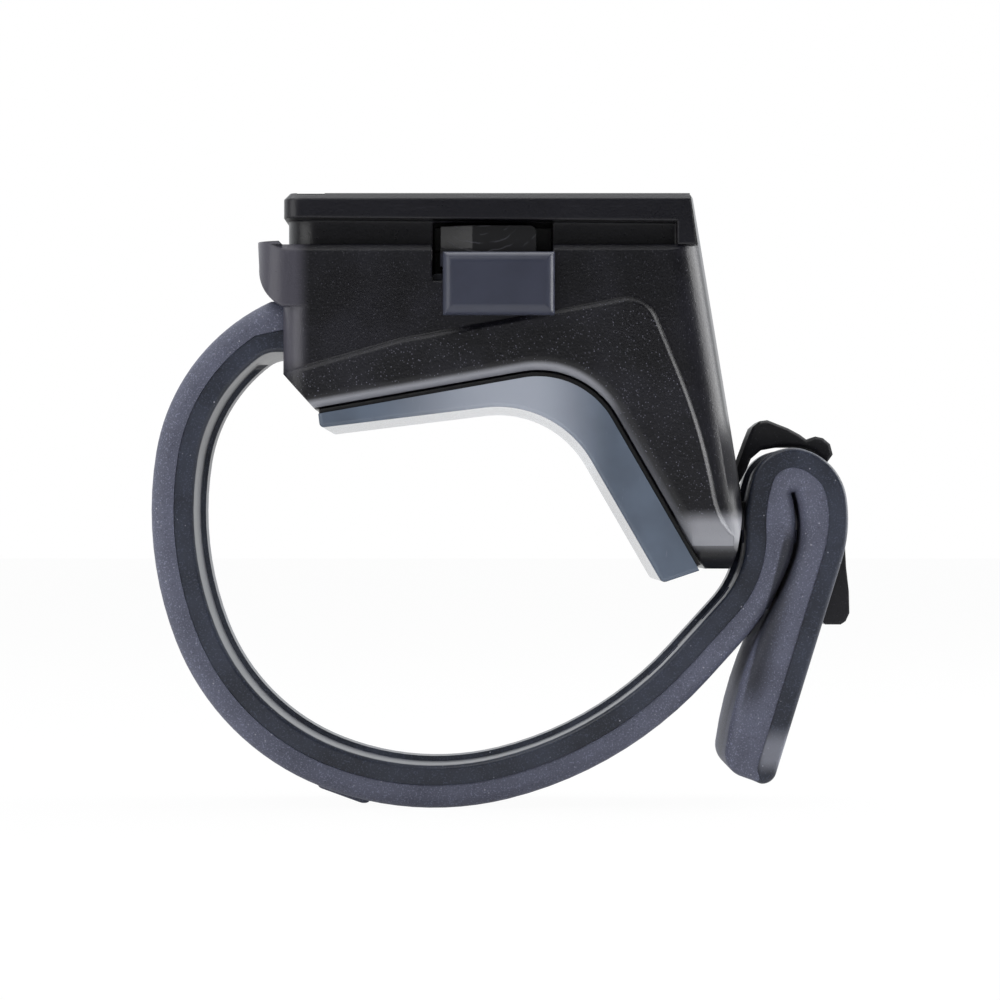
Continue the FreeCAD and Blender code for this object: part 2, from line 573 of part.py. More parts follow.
def strap():
    outer, loop_end, heading = loop_run()
    rise, slit, heading = chain(loop_end, heading, RISE)
    back, heel, heading = chain(slit, heading, BACK)
    inner, toe, _ = smooth_run(last=(TOE,))
    parting, tip, _ = smooth_run(-SMOOTH_LAYER, (PARTING_END,))
    mouth = outer[0].Vertexes[0].Point
    root_x = PIN_X - BULB_R + 1.2
    rough = [line(P(root_x, MOUTH_TOP), mouth)] + outer + rise + back

    def band(face, last, half):
        start = face[0].Vertexes[0].Point
        corner = P(root_x, start.z)
        ends = [line(start, corner), line(corner, P(root_x, MOUTH_TOP))]
        return prism(rough + face + ends + last, half)

    full = band(inner, [line(toe, tip), line(tip, heel)], STRAP_HALF - STRAP_STEP)
    upper = band(parting, [line(tip, heel)], STRAP_HALF)
    bulb = Part.makeCylinder(BULB_R, 2 * (STRAP_HALF - STRAP_STEP), V(PIN_X, -STRAP_HALF + STRAP_STEP, PIN_Z), V(0, 1, 0))
    foot, along = chain(P(*LOOP_START), LOOP_HEADING, list(LOOP[:2]) + [(LOOP[2][0], LUG_TURN)])[1:]
    corners = [foot + polar(along) * u + polar(along - 90) * v for u, v in LUG]
    lug = poly([(c.x, c.z) for c in corners], LUG_HALF)
    body = full.fuse([upper, bulb, lug])
    low, low_end, _ = smooth_run(-FLUTE_DEPTH)
    high, high_end, _ = smooth_run(0.5)
    closing = [line(low[0].Vertexes[0].Point, high[0].Vertexes[0].Point), line(low_end, high_end)]
    cuts = [prism(low + high + closing, FLUTE_HALF)]
    last = chain(heel, heading, [(0, RIM_RUNOUT)])[0]
    for side in (-1, 1):
        cuts.append(rim_cutter(outer + rise + back + last, P(*LOOP_START), LOOP_HEADING, side))
    cuts.append(Part.makeCylinder(PIN_D / 2 + FIT, 30, V(PIN_X, -15, PIN_Z), V(0, 1, 0)))
    top = PEG_Z1 + 0.1
    cuts.append(box(24.0, 36.0, -SLOT_HALF, SLOT_HALF, top - SLOT_LEN, top))
    cuts.append(box(28.0, 31.9, -SLOT_HALF, SLOT_HALF, PEG_Z1, 14.0))
    for (x, z), deg, depth in LADDER_SLOTS:
        cutter = Part.makeBox(SLOT_LEN, 2 * SLOT_HALF, depth, V(-SLOT_LEN / 2, -SLOT_HALF, 0.5 - depth))
        cutter.rotate(V(0, 0, 0), V(0, 1, 0), -deg)
        cutter.translate(P(x, z))
        cuts.append(cutter)
    return body.cut(cuts).removeSplitter()


def strap_pin():
    half = PANEL_HALF - 1.3
    return Part.makeCylinder(PIN_D / 2, 2 * half, V(PIN_X, -half, PIN_Z), V(0, 1, 0))


def screw(point, n, length, head_t):
    """Self-tapping screw: head under the surface at point, shank along n, cross recess."""
    head = Part.makeCylinder(HEAD_D / 2, head_t, point - n * head_t, n)
    shank = Part.makeCylinder(SCREW_D / 2, length, point, n)
    body = head.fuse(shank)
    slots = []
    for turn in (45, 135):
        bar = Part.makeBox(2.2, 0.5, head_t * 0.6, V(-1.1, -0.25, 0))
        bar.rotate(V(0, 0, 0), V(0, 0, 1), turn)
        bar.rotate(V(0, 0, 0), V(0, 1, 0), math.degrees(math.atan2(n.x, n.z)))
        bar.translate(point - n * head_t)
        slots.append(bar)
    return body.cut(slots)


def deck_screws():
    out = []
    for x in DECK_SCREW_X:
        for y in (-DECK_SCREW_Y, DECK_SCREW_Y):
            out.append(screw(V(x, y, ROOF_Z - WALL), V(0, 0, 1), DECK_SCREW_LEN, HEAD_T))
    return out


def plate_screws():
    return [screw(point - n * PLATE_T, n, PLATE_SCREW_LEN, PLATE_HEAD_T) for point, n in plate_screw_sites()]


def main():
    os.makedirs("parts", exist_ok=True)
    pieces = {
        "housing": housing(),
        "rail_deck": rail_deck(),
        "release_button": release_button(),
        "button_spring": button_spring(),
        "saddle_plate": saddle_plate(),
        "saddle_pad": saddle_pad(),
        "strap": strap(),
        "strap_pin": strap_pin(),
    }
    for i, shape in enumerate(deck_screws(), 1):
        pieces["deck_screw_%d" % i] = shape
    for i, shape in enumerate(plate_screws(), 1):
        pieces["plate_screw_%d" % i] = shape
    for name, shape in pieces.items():
        shape.translate(ride_out())
        solids = len(shape.Solids)
        print(name, "solids", solids, "valid", shape.isValid(), "volume", round(shape.Volume, 1))
        if solids == 1:
            shape = shape.Solids[0]
        shape.exportStep("parts/%s.step" % name)


main()
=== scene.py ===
import math

import bmesh
import bpy
from mathutils import Matrix, Vector


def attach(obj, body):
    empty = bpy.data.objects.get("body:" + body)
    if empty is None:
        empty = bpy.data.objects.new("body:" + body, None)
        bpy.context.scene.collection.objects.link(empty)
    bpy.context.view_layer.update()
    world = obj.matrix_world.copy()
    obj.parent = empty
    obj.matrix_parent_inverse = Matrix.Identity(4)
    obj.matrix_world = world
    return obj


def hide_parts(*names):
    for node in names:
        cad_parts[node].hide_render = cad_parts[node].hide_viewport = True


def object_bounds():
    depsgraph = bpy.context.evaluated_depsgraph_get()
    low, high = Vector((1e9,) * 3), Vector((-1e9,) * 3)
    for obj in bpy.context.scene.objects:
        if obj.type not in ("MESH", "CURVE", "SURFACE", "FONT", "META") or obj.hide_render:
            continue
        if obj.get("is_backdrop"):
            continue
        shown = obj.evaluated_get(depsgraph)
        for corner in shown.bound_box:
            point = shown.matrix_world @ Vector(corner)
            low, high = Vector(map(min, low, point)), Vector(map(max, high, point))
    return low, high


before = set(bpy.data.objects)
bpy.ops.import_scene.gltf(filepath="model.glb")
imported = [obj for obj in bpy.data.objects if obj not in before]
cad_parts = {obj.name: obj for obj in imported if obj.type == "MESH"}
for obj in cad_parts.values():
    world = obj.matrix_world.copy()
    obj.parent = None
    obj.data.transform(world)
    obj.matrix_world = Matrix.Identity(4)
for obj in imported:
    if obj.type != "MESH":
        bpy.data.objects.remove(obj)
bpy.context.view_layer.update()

bl_info = {
    "name": "Bike Light Mount",
    "version": (1, 0, 0),
    "blender": (4, 5, 0),
    "location": "3D View > Sidebar > Light Mount",
    "description": "Rubber strap and saddle pad, finishes and studio for a handlebar light mount",
    "category": "Object",
}

MM = 0.001
# Shading breaks above the first angle; edges of the pad above the second are rounded.
SHARP = math.radians(32)
CORNER = math.radians(40)
# Share of a face's normal across the bar above which it counts as a flat side.
FLAT = 0.9
# How near an edge lies to a face that it belongs to: an arm, and an arc drawn in steps.
NEAR = 0.02
NEAR_ARC = 0.1
# Arc steps in degrees; small arcs as a radius in millimetres and a factor on the step, tiny ones as
# a radius and the step itself.
ARC_STEP = 3.0
SMALL_ARC = (3.0, 2.5)
TINY_ARC = (1.0, 22.0)

# The strap in the side view, in millimetres: tangent runs of (radius, turn) arcs and (0, length)
# lines. Headings are in degrees from +X toward +Z.
LOOP_START = (-17.14, 26.02)
LOOP_HEADING = 204.62
LOOP = ((18.18, 56.15), (32.7, 30.36), (23.05, 47.39), (28.04, 35.29), (35.84, 34.04))
RISE = ((0, 4.44), (22.28, 21.41), (10.23, 36.62), (0.166, -177.34))
FOLD = ((0, 6.06), (8.76, 44.64), (14.58, -19.99), (3.67, -85.08), (5.3, -68.59), (12.74, -26.01),
        (0, 20.1))
# Root of the loop: degrees from the loop's start to the parting line's, and from there to the smooth
# face's; the bend's radius; and the step from the parting line's start toward the eye.
ROOT_SKIP = 8.9
ROOT_BEND = 3.6
ROOT_BEND_R = 2.57
PARTING_ROOT = (2.9, 0.6)
TOE = ((1.3, -78.0),)
PARTING_END = ((0, 1.24),)
BACK = ((9.36, -37.42), (20.14, -11.13), (37.64, 22.1), (2.2, 81.4))
PIN = (-11.3, 23.75)
EYE_R = 1.52
EYE_LENGTH = 24.0
BULB_TOP = (-13.0, 26.1)
BULB_STEP = 10.0
# Tab under the loop: corners in the side view, half its width, and the rounding of the edges that
# lie under a height.
LUG = ((-13.2, -17.0), (-12.9, -18.0), (-8.9, -19.45), (-8.3, -19.35), (-8.1, -18.3))
LUG_HALF = 6.0
LUG_EDGE_R = 0.25
LUG_ROOT_Z = -17.5
# Ladder slots: place on the smooth face, face direction and cutting depth. The cut starts above
# the face.
TAIL_SLOTS = (((23.3, -1.2), 57.0, 5.2), ((18.8, -6.8), 48.0, 5.2), ((33.1, -1.6), -75.0, 5.5))
SLOT_LENGTH = 3.9
SLOT_HALF = 4.4
SLOT_ABOVE = 0.5
# Slots round the hook: centre and size in the side view.
PEG_SLOT = ((30.0, 6.15), (12.0, 3.9))
NECK_SLOT = ((29.95, 11.0), (3.9, 6.0))

# Saddle faces: distance and direction of each arm's normal, corner radius; then the left end and
# the length of the right arm. The heel closes the pad at the right.
PAD_CONTACT = (15.9, 97.0, 15.9, 30.0, 9.6)
CONTACT_ENDS = (-12.5, 11.9)
PAD_SEAT = (17.7, 100.0, 19.35, 30.0, 7.6)
SEAT_ENDS = (-12.65, 15.6)
PAD_HEEL = (18.0, 0.65)
# Screws under the pad: place of the head, direction, and the head's pocket.
PLATE_SCREWS = (((-4.7, -6.0, 17.55), 100.0), ((-4.7, 6.0, 17.55), 100.0), ((17.2, 0.0, 9.71), 30.0))
POCKET_R = 2.0
POCKET_DEPTH = 1.7

# Camera: place in millimetres, focal length and upward shift.
CAMERA_PLACE = (3.555, -351.0, 5.391)
CAMERA_LENS = 136.8
CAMERA_SHIFT = 0.03
# Lamps: size and place in metres. All are aimed at one point.
LAMPS = {"top": ((0.5, 0.4), (0.0, 0.05, 0.40)),
         "key": ((0.30, 0.22), (-0.16, -0.30, 0.34)),
         "side": ((0.26, 0.34), (0.32, 0.04, 0.13)),
         "fill": ((0.30, 0.34), (-0.36, -0.22, 0.08))}
LAMP_AIM = (0.004, 0.0, 0.008)
FLOOR_HALF = 3.0
FLOOR_GAP = 0.02
FLOOR_PAINT = (0.76, 0.80)
# Share of the floor that glows white to the camera, so that the object's shadow stays faint.
FLOOR_GLOW = 0.965
ROOM_TINT = (0.96, 0.98, 1.0)
# Where the dim room in front goes over into the pale backdrop, along Y of the ray's direction.
ROOM_TURN = (-0.15, 0.35)

# Finish of the housing, in millimetres. Distance from the middle over which the side wall steps out
# to the raised arch; then bands of height and ramps along X, with the sides they are limited to, for
# the painted highlight on the nose, the painted sheen on the left corner and the rubbed patch.
ARCH_STEP = (12.25, 12.45)
SKIRT_SIDE = 12.0
NOSE_HIGHLIGHT_BAND = (3.2, 4.8, 5.8, 7.4)
NOSE_HIGHLIGHT_FROM = (18.6, 21.4)
CORNER_SHEEN_TO = (-14.9, -13.3)
CORNER_SHEEN_ABOVE = (18.5, 21.0)
CORNER_SHEEN_SIDE = 9.5
RUBBED_BAND = (8.0, 10.0, 12.0, 16.0)
RUBBED_FROM = (18.0, 20.5)
RUBBED_SIDE = 11.5
SOFT_EDGE = 0.28
# Heights over which the deck's scuffs and the button's tooth begin.
SCUFF_ABOVE = (33.4, 35.4)
TOOTH_ABOVE = (29.9, 30.3)
# Middle of the curved scuffs on the latch tooth.
SCUFF_CENTRE = (2.0, 36.0)
# Line of the painted shade in the hollow on the tail: a point on it and the direction away from it,
# with the band across the line and the band of height.
FOLD_SHADE_POINT = (28.8, 2.7)
FOLD_SHADE_AWAY = (0.969, -0.246)
FOLD_SHADE_BAND = (-0.3, 0.0, 0.5, 2.3)
FOLD_SHADE_HEIGHT = (-12.0, -8.0, 4.0, 6.0)
# Painted sheen on the tail's end, and a painted highlight in the middle of the pad.
TAIL_SHEEN_BAND = (-16.8, -15.2, -14.2, -12.0)
TAIL_SHEEN_FROM = (26.0, 27.5)
PAD_HIGHLIGHT_BAND = (-9.0, 4.0, 6.0, 14.0)

# Colours that aren't settings: the plate, the latch tooth's painted shade, painted glints, highlights
# and sheens, wear and dust.
PLATE_DARK = (0.006, 0.006, 0.007)
PLATE_PALE = (0.014, 0.014, 0.016)
PAINTED_GLINT = (0.22, 0.22, 0.29)
PAINTED_EDGE_HIGHLIGHT = (0.32, 0.325, 0.36)
PAINTED_NOSE_HIGHLIGHT = (0.34, 0.345, 0.38)
PAINTED_CORNER_SHEEN = (0.075, 0.072, 0.092)
DECK_SCUFF = (0.09, 0.09, 0.11)
TOOTH_PAINTED_SHADE = (0.007, 0.007, 0.009)
TOOTH_SCUFF = (0.11, 0.11, 0.13)
ROUGH_DUST = (0.40, 0.40, 0.46)
SMOOTH_DUST = (0.38, 0.38, 0.45)
PAINTED_TAIL_SHEEN = (0.27, 0.28, 0.33)
PAINTED_PAD_HIGHLIGHT = (0.37, 0.40, 0.47)
SCRATCH = (0.25, 0.27, 0.34)


def at(x, z, y=0.0):
    """Point given in millimetres."""
    return Vector((x, y, z)) * MM


def toward(deg):
    """Direction in the side view, in degrees from +X toward +Z."""
    return Vector((math.cos(math.radians(deg)), 0.0, math.sin(math.radians(deg))))


def run(bm, vert, angle, legs, offset=0.0):
    """Draw tangent legs on from a vertex; the offset, in millimetres, lies to the left."""
    for radius, amount in legs:
        if radius == 0:
            vert = bmesh.ops.extrude_vert_indiv(bm, verts=[vert])["verts"][0]
            bmesh.ops.translate(bm, verts=[vert], vec=toward(angle) * amount * MM)
        else:
            reach = (math.copysign(radius, amount) - offset) * MM
            centre = vert.co + toward(angle + 90) * reach
            vert = swing(bm, vert, centre, amount)
            angle += amount
    return vert, angle


def swing(bm, vert, centre, turn, fine=ARC_STEP):
    """Spin a vertex round a centre, counter-clockwise in the side view; small arcs get fewer steps."""
    radius = (vert.co - centre).length
    if radius <= TINY_ARC[0] * MM:
        fine = TINY_ARC[1]
    elif radius <= SMALL_ARC[0] * MM:
        fine *= SMALL_ARC[1]
    steps = max(3, round(abs(turn) / fine))
    turned = bmesh.ops.spin(bm, geom=[vert], cent=centre, axis=(0, -1, 0), angle=math.radians(turn),
                            steps=steps)
    return [g for g in turned["geom_last"] if isinstance(g, bmesh.types.BMVert)][0]


def since(bm, before):
    """Edges drawn after the given ones."""
    return [e for e in bm.edges if e not in before]


def finish_mesh(bm, name, material_names):
    """Turn a bmesh into an object at the origin with clean smooth shading."""
    bmesh.ops.recalc_face_normals(bm, faces=bm.faces)
    for face in bm.faces:
        face.smooth = True
    mesh = bpy.data.meshes.new(name)
    bm.to_mesh(mesh)
    bm.free()
    mesh.set_sharp_from_angle(angle=SHARP)
    piece = bpy.data.objects.new(name, mesh)
    bpy.context.scene.collection.objects.link(piece)
    for material in material_names:
        mesh.materials.append(bpy.data.materials[material])
    return piece


def boolean(piece, cutter_bm, operation):
    """Join a cutter to a piece, or take it away, and apply the result."""
    bmesh.ops.recalc_face_normals(cutter_bm, faces=cutter_bm.faces)
    mesh = bpy.data.meshes.new("cutter")
    cutter_bm.to_mesh(mesh)
    cutter_bm.free()
    cutter = bpy.data.objects.new("cutter", mesh)
    bpy.context.scene.collection.objects.link(cutter)
    modifier = piece.modifiers.new("cut", "BOOLEAN")
    modifier.operation = operation
    modifier.solver = "EXACT"
    modifier.object = cutter
    graph = bpy.context.evaluated_depsgraph_get()
    result = bpy.data.meshes.new_from_object(piece.evaluated_get(graph))
    piece.modifiers.remove(modifier)
    old = piece.data
    piece.data = result
    bpy.data.meshes.remove(old)
    bpy.data.objects.remove(cutter)
    bpy.data.meshes.remove(mesh)


def add_block(bm, size, turn_deg, place):
    """Block turned in the side view, its centre at the given place."""
    made = bmesh.ops.create_cube(bm, size=1.0)["verts"]
    turn = Matrix.Rotation(math.radians(-turn_deg), 4, "Y")
    matrix = Matrix.Translation(place) @ turn @ Matrix.Diagonal((*size, 1.0))
    bmesh.ops.transform(bm, verts=made, matrix=matrix)


def add_rod(bm, radius, length, axis, place):
    """Round rod along an axis, its centre at the given place."""
    made = bmesh.ops.create_cone(bm, cap_ends=True, segments=32, radius1=radius, radius2=radius,
                                 depth=length)
    turn = Vector((0, 0, 1)).rotation_difference(axis).to_matrix().to_4x4()
    bmesh.ops.transform(bm, verts=made["verts"], matrix=Matrix.Translation(place) @ turn)


def pull(bm, faces, reach):
    """Pull faces out across the bar into a closed block."""
    made = bmesh.ops.extrude_face_region(bm, geom=faces)["geom"]
    moved = [g for g in made if isinstance(g, bmesh.types.BMVert)]
    bmesh.ops.translate(bm, verts=moved, vec=(0, reach, 0))


def round_off(bm, edges, radius, segments, clamp=True):
    """Round edges by a radius, and return what the rounding made."""
    return bmesh.ops.bevel(bm, geom=edges, offset=radius, offset_type="OFFSET", segments=segments,
                           profile=0.5, affect="EDGES", material=-1, clamp_overlap=clamp)


def shade(piece):
    """Break the shading at sharp edges, and keep wide flat faces flat beside their roundings."""
    piece.data.set_sharp_from_angle(angle=SHARP)
    modifier = piece.modifiers.new("flat faces", "WEIGHTED_NORMAL")
    modifier.keep_sharp = True
    modifier.weight = 60


class Value:
    """A shader socket that takes part in Python expressions."""

    def __init__(self, finish, socket):
        self.finish = finish
        self.socket = socket

    def _math(self, operation, first, second=0.0):
        return self.finish.node("ShaderNodeMath", {"operation": operation}, {0: first, 1: second})

    def __add__(self, other):
        return self._math("ADD", self, other)

    __radd__ = __add__

    def __sub__(self, other):
        return self._math("SUBTRACT", self, other)

    def __rsub__(self, other):
        return self._math("SUBTRACT", other, self)

    def __mul__(self, other):
        return self._math("MULTIPLY", self, other)

    __rmul__ = __mul__

    def __gt__(self, other):
        return self._math("GREATER_THAN", self, other)

    def __lt__(self, other):
        return self._math("LESS_THAN", self, other)

    def __abs__(self):
        return self._math("ABSOLUTE", self)

    def ramp(self, low, high, out_low=0.0, out_high=1.0):
        """Smoothly remap low..high to out_low..out_high, held outside."""
        settings = {"interpolation_type": "SMOOTHSTEP"}
        values = {"Value": self, "From Min": low, "From Max": high, "To Min": out_low,
                  "To Max": out_high}
        return self.finish.node("ShaderNodeMapRange", settings, values)

    def over(self, low, high):
        """0 below low and 1 above high, both in millimetres."""
        return self.ramp(low * MM, high * MM)

    def under(self, low, high):
        """1 below low and 0 above high, both in millimetres."""
        return self.ramp(low * MM, high * MM, 1.0, 0.0)

    def band(self, start, full, last, end):
        """1 from full to last, fading to 0 at start and end, all in millimetres."""
        return self.over(start, full) * self.under(last, end)


class Finish:
    """One node material, with its textures and its surface shader; or a world's nodes."""

    def __init__(self, name, world=None):
        self.material = world or bpy.data.materials.new(name)
        self.material.use_nodes = True
        self.tree = self.material.node_tree
        self.tree.nodes.clear()
        self.place = self.node("ShaderNodeTexCoord", output="Generated" if world else "Object")

    def node(self, kind, settings=None, values=None, output=0):
        """New node with its settings, its inputs linked or set, and one of its outputs."""
        made = self.tree.nodes.new(kind)
        for key, setting in (settings or {}).items():
            setattr(made, key, setting)
        for key, value in (values or {}).items():
            socket = made.inputs[key]
            if isinstance(value, Value):
                self.tree.links.new(value.socket, socket)
            else:
                socket.default_value = value
        return Value(self, made.outputs[output])

    def noise(self, size, detail=2.0, rough=0.5, stretch=None):
        """Noise whose blobs are about the given size in metres."""
        where = self.place
        if stretch:
            where = self.node("ShaderNodeVectorMath", {"operation": "MULTIPLY"}, {0: where, 1: stretch})
        values = {"Vector": where, "Scale": 1.0 / size, "Detail": detail, "Roughness": rough}
        return self.node("ShaderNodeTexNoise", {"normalize": True}, values, "Fac")

    def cells(self, size):
        """Distance from scattered points about the given size in metres apart."""
        values = {"Vector": self.place, "Scale": 1.0 / size, "Randomness": 1.0}
        return self.node("ShaderNodeTexVoronoi", {"feature": "F1"}, values, "Distance")

    def axis(self, name):
        """One coordinate of the place on the surface."""
        return self.node("ShaderNodeSeparateXYZ", None, {0: self.place}, name)

    def facing_up(self):
        """Upward part of the surface's own normal."""
        normal = self.node("ShaderNodeTexCoord", output="Normal")
        return self.node("ShaderNodeSeparateXYZ", None, {0: normal}, "Z")

    def mix(self, mask, first, second):
        """Colour between two, by a mask."""
        values = {0: mask, 6: self._colour(first), 7: self._colour(second)}
        return self.node("ShaderNodeMix", {"data_type": "RGBA", "clamp_factor": True}, values, 2)

    @staticmethod
    def _colour(value):
        return value if isinstance(value, Value) else (*value, 1.0)

    def bump(self, height, depth, strength, normal=None):
        """Normal bent by a height, over an earlier normal where one is given."""
        values = {"Strength": strength, "Distance": depth, "Height": height}
        if normal is not None:
            values["Normal"] = normal
        return self.node("ShaderNodeBump", None, values, "Normal")

    def soft_edge(self, radius):
        """Normal that rounds sharp edges by a small radius."""
        return self.node("ShaderNodeBevel", {"samples": 6}, {"Radius": radius}, "Normal")

    def surface(self, colour, roughness, normal, metallic=0.0, **plain):
        """Principled surface; further inputs are named with underscores for spaces."""
        values = {"Base Color": self._colour(colour), "Roughness": roughness, "Metallic": metallic}
        values["Normal"] = normal
        for key, value in plain.items():
            values[key.replace("_", " ")] = value
        shader = self.node("ShaderNodeBsdfPrincipled", None, values)
        self.node_out(shader)

    def node_out(self, shader, kind="ShaderNodeOutputMaterial"):
        """Output node that ends the tree."""
        out = self.tree.nodes.new(kind)
        self.tree.links.new(shader.socket, out.inputs["Surface"])


def tint(colour, factor):
    """Colour made paler or darker by a factor."""
    return tuple(min(1.0, c * factor) for c in colour)


def dress(node, material):
    """Give a frame node its finish."""
    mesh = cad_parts[node].data
    if not mesh.materials:
        mesh.materials.append(material)
    for index in range(len(mesh.materials)):
        mesh.materials[index] = material


class MountStrapSize(bpy.types.PropertyGroup):
    half_width: bpy.props.FloatProperty(
        name="Half Width", description="Half the strap's width across the bar", default=9.0 * MM,
        unit="LENGTH")
    thickness: bpy.props.FloatProperty(
        name="Thickness", description="Thickness of the band", default=3.9 * MM, unit="LENGTH")
    smooth_layer: bpy.props.FloatProperty(
        name="Smooth Layer", description="Thickness of the smooth inner layer", default=1.8 * MM,
        unit="LENGTH")
    rough_radius: bpy.props.FloatProperty(
        name="Rough Edge Radius", description="Rounding of the rough half's long edges",
        default=1.4 * MM, unit="LENGTH")
    edge_radius: bpy.props.FloatProperty(
        name="Smooth Edge Radius", description="Rounding of the smooth half's long edges",
        default=0.4 * MM, unit="LENGTH")
    flute_half: bpy.props.FloatProperty(
        name="Flute Half Width", description="Half the width of the flute in the smooth face",
        default=5.6 * MM, unit="LENGTH")
    flute_wall: bpy.props.FloatProperty(
        name="Flute Wall", description="Width of the slope at each side of the flute", default=0.4 * MM,
        unit="LENGTH")
    flute_depth: bpy.props.FloatProperty(
        name="Flute Depth", description="Depth of the flute in the smooth face", default=0.45 * MM,
        unit="LENGTH")
    flash_height: bpy.props.FloatProperty(
        name="Flash Height", description="Height of the moulding line between the layers",
        default=0.10 * MM, unit="LENGTH")
    flash_half: bpy.props.FloatProperty(
        name="Flash Half Width", description="Half the width of the moulding line", default=0.09 * MM,
        unit="LENGTH")


class MountPadSize(bpy.types.PropertyGroup):
    half_width: bpy.props.FloatProperty(
        name="Half Width", description="Half the pad's width across the bar", default=12.7 * MM,
        unit="LENGTH")
    edge_radius: bpy.props.FloatProperty(
        name="Edge Radius", description="Rounding of the pad's lower edges", default=0.4 * MM,
        unit="LENGTH")


def colour_property(name, description, default):
    """Setting for a linear colour."""
    return bpy.props.FloatVectorProperty(
        name=name, description=description, default=default, size=3, subtype="COLOR", min=0.0, max=1.0)


class MountColours(bpy.types.PropertyGroup):
    housing: colour_property("Housing", "Moulded nylon of the saddle block", (0.0060, 0.0060, 0.0090))
    deck: colour_property("Deck", "Moulded plastic of the rail deck", (0.0060, 0.0060, 0.0095))
    button: colour_property("Button", "Plastic of the release button", (0.034, 0.038, 0.060))
    pad: colour_property("Pad", "Rubber of the saddle pad", (0.098, 0.125, 0.172))
    strap_rough: colour_property(
        "Strap Rough Half", "Silicone of the strap's outer half", (0.098, 0.104, 0.148))
    strap_smooth: colour_property(
        "Strap Smooth Half", "Silicone of the strap's inner half", (0.022, 0.026, 0.040))
    steel: colour_property("Steel", "Screws, pin and spring", (0.46, 0.45, 0.43))


def power_property(name, description, default):
    """Setting for a lamp's power."""
    return bpy.props.FloatProperty(
        name=name, description=description, default=default, unit="POWER", min=0.0)


class MountStudio(bpy.types.PropertyGroup):
    top_power: power_property("Top Light", "Wide soft light over the object", 1.1)
    key_power: power_property("Key Light", "Soft light high in front, at the left", 0.65)
    side_power: power_property("Side Light", "Soft light at the right", 1.5)
    fill_power: power_property("Fill Light", "Soft light at the left", 0.65)
    room_front: bpy.props.FloatProperty(
        name="Room Front", description="Light of the room before the object", default=0.02)
    room_back: bpy.props.FloatProperty(
        name="Room Back", description="Light of the backdrop behind the object", default=1.1)
    table_sheen: bpy.props.FloatProperty(
        name="Table Sheen", description="White of the table in reflections", default=0.7)


